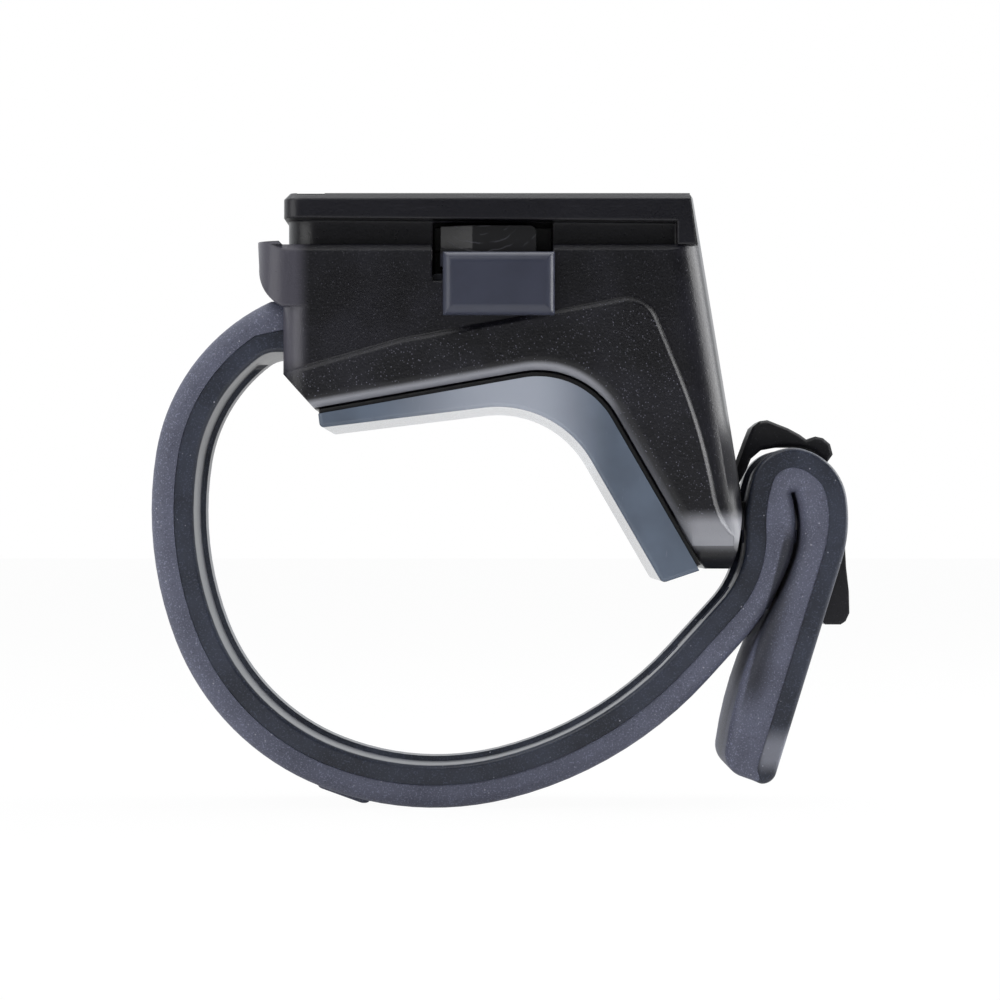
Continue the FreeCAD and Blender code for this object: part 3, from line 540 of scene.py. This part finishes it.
class MOUNT_OT_finishes(bpy.types.Operator):
    """Make every finish and put it on the frame's nodes"""
    bl_idname = "mount.finishes"
    bl_label = "Finishes"

    def execute(self, context):
        colours = context.scene.mount_colours
        self.housing(tuple(colours.housing))
        self.deck(tuple(colours.deck))
        self.button(tuple(colours.button))
        self.plate()
        self.steel(tuple(colours.steel))
        self.rough_silicone(tuple(colours.strap_rough))
        self.smooth_silicone(tuple(colours.strap_smooth))
        self.pad_rubber(tuple(colours.pad))
        wears = {"housing": "moulded_nylon", "rail_deck": "deck_plastic",
                 "release_button": "button_plastic", "saddle_plate": "plate_black",
                 "saddle_pad": "pad_rubber", "strap": "rough_silicone"}
        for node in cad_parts:
            dress(node, bpy.data.materials[wears.get(node, "plain_steel")])
        return {"FINISHED"}

    def housing(self, colour):
        """Black nylon: spark-eroded grain with painted glints, stronger on the raised arch; painted
        highlights on the skirt's lower edge and the nose, and a painted sheen on the left corner.
        """
        f = Finish("moulded_nylon")
        side = abs(f.axis("Y"))
        arch = side.over(*ARCH_STEP)
        grain = f.noise(0.24 * MM, 3.0, 0.65)
        speck = f.cells(0.24 * MM).ramp(0.08, 0.32, 1.0, 0.0)
        cloud = f.noise(6.0 * MM, 3.0)
        # Painted glints: pale specks in the base colour stand in for light glinting off the grain, more
        # on the raised arch.
        painted_glints = speck * grain.ramp(0.42, 0.66) * (arch * 0.5 + 0.2)
        base = f.mix(cloud.ramp(0.40, 0.66), tint(colour, 0.7), tint(colour, 1.6))
        base = f.mix(painted_glints, base, PAINTED_GLINT)
        facing = f.facing_up()
        # Painted highlight: the skirt's downward-facing lower rounding is painted pale, in place of
        # light from below.
        edge_highlight = facing.ramp(-0.60, -0.20, 1.0, 0.0) * facing.ramp(-0.98, -0.80)
        base = f.mix(edge_highlight * (side > SKIRT_SIDE * MM), base, PAINTED_EDGE_HIGHLIGHT)
        high, across = f.axis("Z"), f.axis("X")
        # Painted highlight: a band on the nose is painted pale, in place of its glossy reflection.
        nose_highlight = high.band(*NOSE_HIGHLIGHT_BAND) * across.over(*NOSE_HIGHLIGHT_FROM)
        base = f.mix(nose_highlight * 0.85, base, PAINTED_NOSE_HIGHLIGHT)
        # Painted sheen: the rounded left corner is painted paler, in place of the fill light's
        # reflection on it.
        corner = across.under(*CORNER_SHEEN_TO) * high.over(*CORNER_SHEEN_ABOVE) * (side > CORNER_SHEEN_SIDE * MM)
        base = f.mix(corner * 0.85, base, PAINTED_CORNER_SHEEN)
        rubbed = high.band(*RUBBED_BAND) * across.over(*RUBBED_FROM) * (side < RUBBED_SIDE * MM)
        rough = cloud * 0.08 + grain * 0.14 + arch * 0.02 + 0.20 + rubbed * 0.6
        height = (grain + speck * 0.4) * (arch * 0.5 + 0.5)
        normal = f.bump(height, 0.045 * MM, 0.8, f.soft_edge(SOFT_EDGE * MM))
        f.surface(base, rough, normal, Specular_IOR_Level=0.42)

    def deck(self, colour):
        """Black deck moulding, satin, with light scuffs where lights slide on."""
        f = Finish("deck_plastic")
        grain = f.noise(0.22 * MM, 3.0, 0.65)
        streak = f.noise(0.5 * MM, 3.0, 0.6, stretch=(0.08, 1.0, 1.0))
        cloud = f.noise(5.0 * MM, 2.0)
        scuff = streak.ramp(0.60, 0.72) * f.axis("Z").over(*SCUFF_ABOVE) * 0.22
        base = f.mix(cloud.ramp(0.3, 0.7) * 0.4, colour, tint(colour, 1.5))
        base = f.mix(scuff, base, DECK_SCUFF)
        rough = cloud * 0.08 + grain * 0.12 + streak * 0.04 + 0.18
        normal = f.bump(grain + streak * 0.06, 0.022 * MM, 0.8, f.soft_edge(SOFT_EDGE * MM))
        f.surface(base, rough, normal, Specular_IOR_Level=0.42)

    def button(self, colour):
        """Thumb button, grained on the pad; the latch tooth polished and painted darker as painted
        shade in the groove, with curved scuffs.
        """
        f = Finish("button_plastic")
        grain = f.noise(0.14 * MM, 3.0, 0.6)
        cloud = f.noise(3.0 * MM, 2.0)
        tooth = f.axis("Z").over(*TOOTH_ABOVE)
        middle = tuple(at(*SCUFF_CENTRE))
        where = f.node("ShaderNodeVectorMath", {"operation": "SUBTRACT"}, {0: f.place, 1: middle})
        settings = {"wave_type": "RINGS", "rings_direction": "Y"}
        values = {"Vector": where, "Scale": 420.0, "Distortion": 3.0, "Detail": 3.0,
                  "Detail Scale": 1.5}
        rings = f.node("ShaderNodeTexWave", settings, values, "Fac")
        scuff = rings.ramp(0.88, 1.0) * tooth * f.noise(1.4 * MM).ramp(0.42, 0.6) * 0.5
        pad = f.mix(cloud.ramp(0.3, 0.7) * 0.4, colour, tint(colour, 1.35))
        # The latch tooth is painted darker than the button: painted shade where it sits in the groove
        # under the flange.
        base = f.mix(scuff, f.mix(tooth, pad, TOOTH_PAINTED_SHADE), TOOTH_SCUFF)
        rough = grain * 0.12 + cloud * 0.06 + 0.24 + tooth * 0.08 + scuff * 0.2
        normal = f.bump(grain, 0.007 * MM, 0.5, f.soft_edge(0.15 * MM))
        f.surface(base, rough, normal, Specular_IOR_Level=0.5)

    def plate(self):
        """Black carrier plate, of which only the edges show."""
        f = Finish("plate_black")
        grain = f.noise(0.2 * MM, 3.0)
        base = f.mix(grain, PLATE_DARK, PLATE_PALE)
        f.surface(base, grain * 0.2 + 0.26, f.bump(grain, 0.005 * MM, 0.4, f.soft_edge(0.25 * MM)))

    def steel(self, colour):
        """Drawn steel of the pin, the spring and the screws."""
        f = Finish("plain_steel")
        drawn = f.noise(0.25 * MM, 4.0, 0.6, stretch=(1.0, 0.12, 1.0))
        cloud = f.noise(2.0 * MM, 2.0)
        base = f.mix(drawn.ramp(0.3, 0.7) * 0.7, tint(colour, 0.7), colour)
        f.surface(base, drawn * 0.18 + cloud * 0.10 + 0.18, f.bump(drawn, 0.004 * MM, 0.4), 1.0)

    def rough_silicone(self, colour):
        """Outer half of the strap: matt, dusty and speckled, with painted shade in the hollow beside
        the fold.
        """
        f = Finish("rough_silicone")
        grain = f.noise(0.18 * MM, 4.0, 0.65)
        pits = f.cells(0.5 * MM).ramp(0.05, 0.30, 1.0, 0.0)
        cloud = f.noise(4.0 * MM, 3.0)
        dust = f.cells(0.6 * MM).ramp(0.08, 0.16, 1.0, 0.0) * f.noise(1.6 * MM).ramp(0.50, 0.62)
        base = f.mix(cloud.ramp(0.3, 0.7), tint(colour, 0.86), tint(colour, 1.14))
        salt = f.noise(0.15 * MM, 2.0, 0.5).ramp(0.54, 0.66)
        base = f.mix(salt * 0.7, base, tint(colour, 2.2))
        base = f.mix(pits * 0.5, base, tint(colour, 0.5))
        base = f.mix(dust * 0.75, base, ROUGH_DUST)
        # Painted shade: the tail is darkened along its contact with the strap's rise.
        base = f.mix(self.fold_painted_shade(f) * 0.8, base, tint(colour, 0.12))
        height = grain * 0.8 - pits * 0.5 + dust * 0.6
        f.surface(base, grain * 0.12 + 0.52, f.bump(height, 0.020 * MM, 0.8), Specular_IOR_Level=0.4)

    def fold_painted_shade(self, f):
        """Mask of the painted shade in the hollow on the tail, along its contact with the strap's rise.
        """
        across, up = f.axis("X"), f.axis("Z")
        (x, z), (away_x, away_z) = FOLD_SHADE_POINT, FOLD_SHADE_AWAY
        away = (across - x * MM) * away_x + (up - z * MM) * away_z
        return away.band(*FOLD_SHADE_BAND) * up.band(*FOLD_SHADE_HEIGHT)

    def smooth_silicone(self, colour):
        """Inner half of the strap: darker, a low sheen, specks of dust, and a painted sheen at the
        tail's end.
        """
        f = Finish("smooth_silicone")
        grain = f.noise(0.25 * MM, 3.0, 0.6)
        cloud = f.noise(5.0 * MM, 3.0)
        dust = f.cells(0.7 * MM).ramp(0.06, 0.13, 1.0, 0.0) * f.noise(1.8 * MM).ramp(0.52, 0.62)
        base = f.mix(cloud.ramp(0.3, 0.7), tint(colour, 0.7), tint(colour, 1.5))
        salt = f.noise(0.16 * MM, 2.0, 0.5).ramp(0.54, 0.68)
        base = f.mix(salt * 0.6, base, tint(colour, 3.0))
        base = f.mix(dust * 0.8, base, SMOOTH_DUST)
        # Painted sheen: the tail's end is painted paler, in place of a reflection on it.
        tail_sheen = f.axis("Z").band(*TAIL_SHEEN_BAND) * f.axis("X").over(*TAIL_SHEEN_FROM)
        base = f.mix(tail_sheen * 0.7, base, PAINTED_TAIL_SHEEN)
        rough = grain * 0.10 + cloud * 0.12 + 0.24
        f.surface(base, rough, f.bump(grain + dust, 0.008 * MM, 0.6), Specular_IOR_Level=0.45)

    def pad_rubber(self, colour):
        """Smooth bluish rubber with a painted highlight in the middle, faintly scratched and glossy
        underneath.
        """
        f = Finish("pad_rubber")
        grain = f.noise(0.22 * MM, 3.0, 0.6)
        cloud = f.noise(6.0 * MM, 3.0)
        scratch = f.noise(0.35 * MM, 3.0, 0.6, stretch=(1.0, 1.0, 0.12)).ramp(0.66, 0.74)
        # Painted highlight: a band across the middle of the pad is painted paler, in place of a
        # reflection.
        pad_highlight = f.axis("X").band(*PAD_HIGHLIGHT_BAND)
        base = f.mix(cloud.ramp(0.3, 0.7), tint(colour, 0.85), tint(colour, 1.2))
        base = f.mix(pad_highlight, base, PAINTED_PAD_HIGHLIGHT)
        base = f.mix(scratch * 0.25, base, SCRATCH)
        polish = f.facing_up().ramp(-0.45, -0.25, 1.0, 0.0)
        rough = (grain * 0.10 + cloud * 0.12 + scratch * 0.15 + 0.26) * (1.0 - polish * 0.75)
        f.surface(base, rough, f.bump(grain - scratch, 0.006 * MM, 0.5), Specular_IOR_Level=0.5)


class MOUNT_OT_strap(bpy.types.Operator):
    """Make the silicone strap: loop, fold and tail, with two layers, flute and ladder slots"""
    bl_idname = "mount.strap"
    bl_label = "Strap"

    def execute(self, context):
        size = context.scene.mount_strap
        bm = bmesh.new()
        rough, smooth, parting = self.outline(bm, size)
        faces = []
        for index, edges in enumerate((rough + parting, smooth + parting)):
            made = bmesh.ops.contextual_create(bm, geom=edges)["faces"]
            if len(made) != 1:
                raise RuntimeError("the strap's side outline doesn't close")
            made[0].material_index = index
            faces += made
        self.widen(bm, faces, size)
        self.round_edges(bm, size)
        piece = finish_mesh(bm, "rubber_strap", ("rough_silicone", "smooth_silicone"))
        self.lug(piece)
        self.openings(piece)
        shade(piece)
        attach(piece, "mount")
        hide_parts("strap")
        return {"FINISHED"}

    def outline(self, bm, size):
        """Side outline at mid width: rough face, smooth face and the line between the layers."""
        inner = bm.verts.layers.float.new("inner")
        kept = set(bm.edges)
        bulb = math.degrees(math.atan2(BULB_TOP[1] - PIN[1], PIN[0] - BULB_TOP[0]))
        top = bm.verts.new(at(*BULB_TOP))
        start = bmesh.ops.extrude_vert_indiv(bm, verts=[top])["verts"][0]
        start.co = at(*LOOP_START)
        heel, _ = run(bm, start, LOOP_HEADING, LOOP + RISE + BACK)
        side = swing(bm, top, at(*PIN), bulb - 180, BULB_STEP)
        rough = since(bm, kept)

        kept = set(bm.edges)
        low = swing(bm, side, at(*PIN), bulb - 180, BULB_STEP)
        first, angle = self.root(bm, size, 0.0, ROOT_SKIP + ROOT_BEND)
        mouth, _ = run(bm, first, angle - 180, ((ROOT_BEND_R, 180 - angle),))
        bm.edges.new((low, mouth))
        drawn = set(bm.edges)
        last, angle = self.smooth_run(bm, size, first, ROOT_SKIP + ROOT_BEND, 0.0)
        for vert in {v for e in since(bm, drawn) for v in e.verts} - {first, last}:
            vert[inner] = 1.0
        toe, _ = run(bm, last, angle, TOE)
        smooth = since(bm, kept)

        kept = set(bm.edges)
        first, angle = self.root(bm, size, -size.smooth_layer / MM, ROOT_SKIP)
        mouth = bm.verts.new(first.co + at(*PARTING_ROOT))
        bm.edges.new((side, mouth))
        bm.edges.new((mouth, first))
        last, angle = self.smooth_run(bm, size, first, ROOT_SKIP, -size.smooth_layer / MM)
        tip, _ = run(bm, last, angle, PARTING_END)
        parting = since(bm, kept)
        rough.append(bm.edges.new((tip, heel)))
        smooth.append(bm.edges.new((toe, tip)))
        return rough, smooth, parting

    def root(self, bm, size, offset, skip):
        """First vertex of a run beside the smooth face, some degrees into the loop, and its heading."""
        radius = LOOP[0][0]
        centre = at(*LOOP_START) + toward(LOOP_HEADING + 90) * radius * MM
        angle = LOOP_HEADING + skip
        reach = radius - size.thickness / MM - offset
        return bm.verts.new(centre - toward(angle + 90) * reach * MM), angle

    def smooth_run(self, bm, size, vert, skip, offset):
        """Run beside the smooth face, round the loop, over the fold and down the tail."""
        radius, turn = LOOP[0]
        legs = ((radius, turn - skip),) + LOOP[1:]
        vert, angle = run(bm, vert, LOOP_HEADING + skip, legs, size.thickness / MM + offset)
        return run(bm, vert, angle, FOLD, offset)

    def widen(self, bm, faces, size):
        """Give the outline its width, and press the flute into the smooth face."""
        bmesh.ops.translate(bm, verts=bm.verts, vec=(0, -size.half_width, 0))
        pull(bm, faces, 2 * size.half_width)
        bm.normal_update()
        for face in bm.faces:
            if abs(face.normal.y) < FLAT:
                beside = [g for e in face.edges for g in e.link_faces if abs(g.normal.y) > FLAT]
                face.material_index = beside[0].material_index
        rim, foot = size.flute_half, size.flute_half - size.flute_wall
        for y in (-rim, -foot, foot, rim):
            geom = list(bm.verts) + list(bm.edges) + list(bm.faces)
            bmesh.ops.bisect_plane(bm, geom=geom, plane_co=(0, y, 0), plane_no=(0, 1, 0), dist=1e-7)
        bmesh.ops.recalc_face_normals(bm, faces=bm.faces)
        bm.normal_update()
        inner = bm.verts.layers.float["inner"]
        for vert in bm.verts:
            if abs(vert.co.y) < (rim + foot) / 2 and vert[inner] > 0.5:
                vert.co -= vert.normal * size.flute_depth

    def round_edges(self, bm, size):
        """Round the long edges, wide on the rough half, and raise the line between the layers."""
        for layer, radius, fine in ((0, size.rough_radius, 6), (1, size.edge_radius, 4)):
            bm.normal_update()
            rims = [e for e in bm.edges if self.is_rim(e, layer, size.half_width)]
            round_off(bm, rims, radius, fine, clamp=False)
        bm.normal_update()
        made = round_off(bm, [e for e in bm.edges if self.is_parting(e)], size.flash_half, 2)
        strip = set(made["faces"])
        for vert in made["verts"]:
            if all(face in strip for face in vert.link_faces):
                vert.co.y += math.copysign(size.flash_height, vert.co.y)

    def is_rim(self, edge, layer, half_width):
        """Whether an edge is between a flat side and the wall of the given layer."""
        if len(edge.link_faces) != 2 or min(abs(v.co.y) for v in edge.verts) < half_width - 1e-5:
            return False
        first, second = sorted(edge.link_faces, key=lambda f: abs(f.normal.y))
        across = abs(first.normal.y) < 0.3 and abs(second.normal.y) > FLAT
        return across and first.material_index == layer

    def is_parting(self, edge):
        """Whether an edge is between the two layers on a flat side."""
        if len(edge.link_faces) != 2 or any(abs(f.normal.y) <= FLAT for f in edge.link_faces):
            return False
        first, second = edge.link_faces
        return first.material_index != second.material_index

    def lug(self, piece):
        """Small raised tab under the loop."""
        bm = bmesh.new()
        face = bm.faces.new([bm.verts.new(at(x, z, -LUG_HALF)) for x, z in LUG])
        pull(bm, [face], 2 * LUG_HALF * MM)
        lower = [e for e in bm.edges if max(v.co.z for v in e.verts) < LUG_ROOT_Z * MM]
        round_off(bm, lower, LUG_EDGE_R * MM, 3, clamp=False)
        boolean(piece, bm, "UNION")

    def openings(self, piece):
        """Ladder slots through both runs of the band, and the pin's eye."""
        bm = bmesh.new()
        self.hook_slot(bm, *PEG_SLOT)
        for (x, z), turn, depth in TAIL_SLOTS:
            middle = at(x, z) + toward(turn + 90) * (SLOT_ABOVE - depth / 2) * MM
            add_block(bm, Vector((SLOT_LENGTH, 2 * SLOT_HALF, depth)) * MM, turn, middle)
        add_rod(bm, EYE_R * MM, EYE_LENGTH * MM, Vector((0, 1, 0)), at(*PIN))
        boolean(piece, bm, "DIFFERENCE")
        bm = bmesh.new()
        self.hook_slot(bm, *NECK_SLOT)
        boolean(piece, bm, "DIFFERENCE")

    def hook_slot(self, bm, centre, size):
        """Cutter for a slot that the hook goes through."""
        add_block(bm, Vector((size[0], 2 * SLOT_HALF, size[1])) * MM, 0.0, at(*centre))


class MOUNT_OT_pad(bpy.types.Operator):
    """Make the saddle's rubber pad with its rounded lower edge"""
    bl_idname = "mount.pad"
    bl_label = "Saddle Pad"

    def execute(self, context):
        size = context.scene.mount_pad
        bm = bmesh.new()
        upper_first, upper_last = self.arms(bm, PAD_SEAT, *SEAT_ENDS)
        lower_first, lower_last = self.arms(bm, PAD_CONTACT, *CONTACT_ENDS)
        heel = bm.verts.new(at(*PAD_HEEL))
        bm.edges.new((upper_last, heel))
        bm.edges.new((heel, lower_last))
        bm.edges.new((upper_first, lower_first))
        face = bmesh.ops.contextual_create(bm, geom=list(bm.edges))["faces"]
        if len(face) != 1:
            raise RuntimeError("the pad's outline doesn't close")
        bmesh.ops.translate(bm, verts=bm.verts, vec=(0, -size.half_width, 0))
        pull(bm, face, 2 * size.half_width)
        bm.normal_update()
        lower = [e for e in bm.edges if e.calc_face_angle(0.0) >= CORNER and not self.on_seat(e)]
        round_off(bm, lower, size.edge_radius, 5)
        piece = finish_mesh(bm, "rubber_pad", ("pad_rubber",))
        pockets = bmesh.new()
        for (x, y, z), deg in PLATE_SCREWS:
            add_rod(pockets, POCKET_R * MM, POCKET_DEPTH * MM, toward(deg), at(x, z, y))
        boolean(piece, pockets, "DIFFERENCE")
        shade(piece)
        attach(piece, "mount")
        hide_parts("saddle_pad")
        return {"FINISHED"}

    def on_seat(self, edge):
        """Whether an edge is on the upper face, which lies on the plate."""
        d1, a1, d2, a2, radius = PAD_SEAT
        mid = (edge.verts[0].co + edge.verts[1].co) / 2
        on_arm = any(abs(mid.dot(toward(a)) - d * MM) < NEAR * MM for d, a in ((d1, a1), (d2, a2)))
        from_centre = (mid - self.centre(PAD_SEAT)).xz.length
        return on_arm or abs(from_centre - radius * MM) < NEAR_ARC * MM

    def centre(self, saddle):
        """Centre of the arc between the saddle's two arms."""
        d1, a1, d2, a2, radius = saddle
        n1, n2 = toward(a1), toward(a2)
        det = n1.x * n2.z - n1.z * n2.x
        e1, e2 = d1 - radius, d2 - radius
        return Vector(((e1 * n2.z - e2 * n1.z) / det, 0, (n1.x * e2 - n2.x * e1) / det)) * MM

    def arms(self, bm, saddle, x_left, reach):
        """Left arm, corner arc and right arm of one saddle face."""
        d1, a1, d2, a2, radius = saddle
        centre = self.centre(saddle)
        bend_start = centre + toward(a1) * radius * MM
        along = toward(a1 - 90)
        first = bm.verts.new(bend_start - along * ((bend_start.x - x_left * MM) / along.x))
        corner = bmesh.ops.extrude_vert_indiv(bm, verts=[first])["verts"][0]
        corner.co = bend_start
        turned = swing(bm, corner, centre, a2 - a1)
        last = bmesh.ops.extrude_vert_indiv(bm, verts=[turned])["verts"][0]
        bmesh.ops.translate(bm, verts=[last], vec=toward(a2 - 90) * reach * MM)
        return first, last


class MOUNT_OT_studio(bpy.types.Operator):
    """Set the camera, the soft lights and the pale floor"""
    bl_idname = "mount.studio"
    bl_label = "Studio"

    def execute(self, context):
        level = context.scene.mount_studio
        self.camera(context.scene)
        self.floor(level.table_sheen)
        for name, (size, place) in LAMPS.items():
            self.lamp(name + "_light", getattr(level, name + "_power"), size, place)
        self.room(context.scene, level.room_front, level.room_back)
        context.scene.view_settings.view_transform = "Standard"
        return {"FINISHED"}

    def camera(self, scene):
        """Camera in front, level with the side view."""
        data = bpy.data.cameras.new("camera")
        data.sensor_width = 36.0
        data.lens = CAMERA_LENS
        data.shift_y = CAMERA_SHIFT
        data.clip_start = 0.01
        data.clip_end = 20.0
        camera = bpy.data.objects.new("camera", data)
        camera.location = Vector(CAMERA_PLACE) * MM
        camera.rotation_euler = (math.radians(90), 0, 0)
        scene.collection.objects.link(camera)
        scene.camera = camera

    def lamp(self, name, power, size, place):
        """Rectangular soft light that the camera doesn't see."""
        data = bpy.data.lights.new(name, "AREA")
        data.shape = "RECTANGLE"
        data.size, data.size_y = size
        data.energy = power
        lamp = bpy.data.objects.new(name, data)
        lamp.location = place
        lamp.rotation_euler = (Vector(LAMP_AIM) - Vector(place)).to_track_quat("-Z", "Y").to_euler()
        lamp.visible_camera = False
        bpy.context.scene.collection.objects.link(lamp)

    def floor(self, sheen):
        """Pale floor under the object, nearly white to the camera and a sheen in reflections."""
        bm = bmesh.new()
        bmesh.ops.create_grid(bm, x_segments=1, y_segments=1, size=FLOOR_HALF)
        bmesh.ops.translate(bm, verts=bm.verts, vec=(0, 0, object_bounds()[0][2] - FLOOR_GAP * MM))
        mesh = bpy.data.meshes.new("floor")
        bm.to_mesh(mesh)
        bm.free()
        floor = bpy.data.objects.new("floor", mesh)
        bpy.context.scene.collection.objects.link(floor)
        f = Finish("pale_floor")
        seen = f.node("ShaderNodeLightPath", output="Is Camera Ray")
        gloss = f.node("ShaderNodeLightPath", output="Is Glossy Ray")
        speckle = f.noise(3.0 * MM, 2.0)
        pale = f.mix(speckle, *((grey, grey, grey) for grey in FLOOR_PAINT))
        paint = f.node("ShaderNodeBsdfDiffuse", None, {"Color": pale})
        glow = f.node("ShaderNodeEmission", None, {"Color": (1, 1, 1, 1), "Strength": 1.0})
        share = seen * FLOOR_GLOW + gloss * sheen
        f.node_out(f.node("ShaderNodeMixShader", None, {0: share, 1: paint, 2: glow}))
        mesh.materials.append(f.material)
        floor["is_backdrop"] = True

    def room(self, scene, front, back):
        """White to the camera; to every other ray a pale backdrop behind and a dim room in front."""
        scene.world = bpy.data.worlds.new("white_room")
        f = Finish("white_room", scene.world)
        level = f.axis("Y").ramp(*ROOM_TURN, front, back)
        room = f.node("ShaderNodeBackground", None, {"Color": (*ROOM_TINT, 1.0), "Strength": level})
        white = f.node("ShaderNodeBackground", None, {"Color": (1.0, 1.0, 1.0, 1.0), "Strength": 1.0})
        seen = f.node("ShaderNodeLightPath", output="Is Camera Ray")
        shown = f.node("ShaderNodeMixShader", None, {0: seen, 1: room, 2: white})
        f.node_out(shown, "ShaderNodeOutputWorld")


class MOUNT_PT_panel(bpy.types.Panel):
    """Buttons and sizes for the bike light mount"""
    bl_idname = "MOUNT_PT_panel"
    bl_label = "Bike Light Mount"
    bl_space_type = "VIEW_3D"
    bl_region_type = "UI"
    bl_category = "Light Mount"

    def draw(self, context):
        layout = self.layout
        for operator in OPERATORS:
            layout.operator(operator.bl_idname)
        for name in SETTINGS:
            box = layout.box()
            group = getattr(context.scene, name)
            for key in group.__annotations__:
                box.prop(group, key)


SETTINGS = {"mount_strap": MountStrapSize, "mount_pad": MountPadSize, "mount_colours": MountColours,
            "mount_studio": MountStudio}
OPERATORS = (MOUNT_OT_finishes, MOUNT_OT_strap, MOUNT_OT_pad, MOUNT_OT_studio)
CLASSES = (*SETTINGS.values(), *OPERATORS, MOUNT_PT_panel)


def register():
    for cls in CLASSES:
        bpy.utils.register_class(cls)
    for name, cls in SETTINGS.items():
        setattr(bpy.types.Scene, name, bpy.props.PointerProperty(type=cls))


def unregister():
    for name in SETTINGS:
        delattr(bpy.types.Scene, name)
    for cls in reversed(CLASSES):
        bpy.utils.unregister_class(cls)


def main():
    register()
    bpy.ops.mount.finishes()
    bpy.ops.mount.strap()
    bpy.ops.mount.pad()
    bpy.ops.mount.studio()


if __name__ == "__main__":
    main()
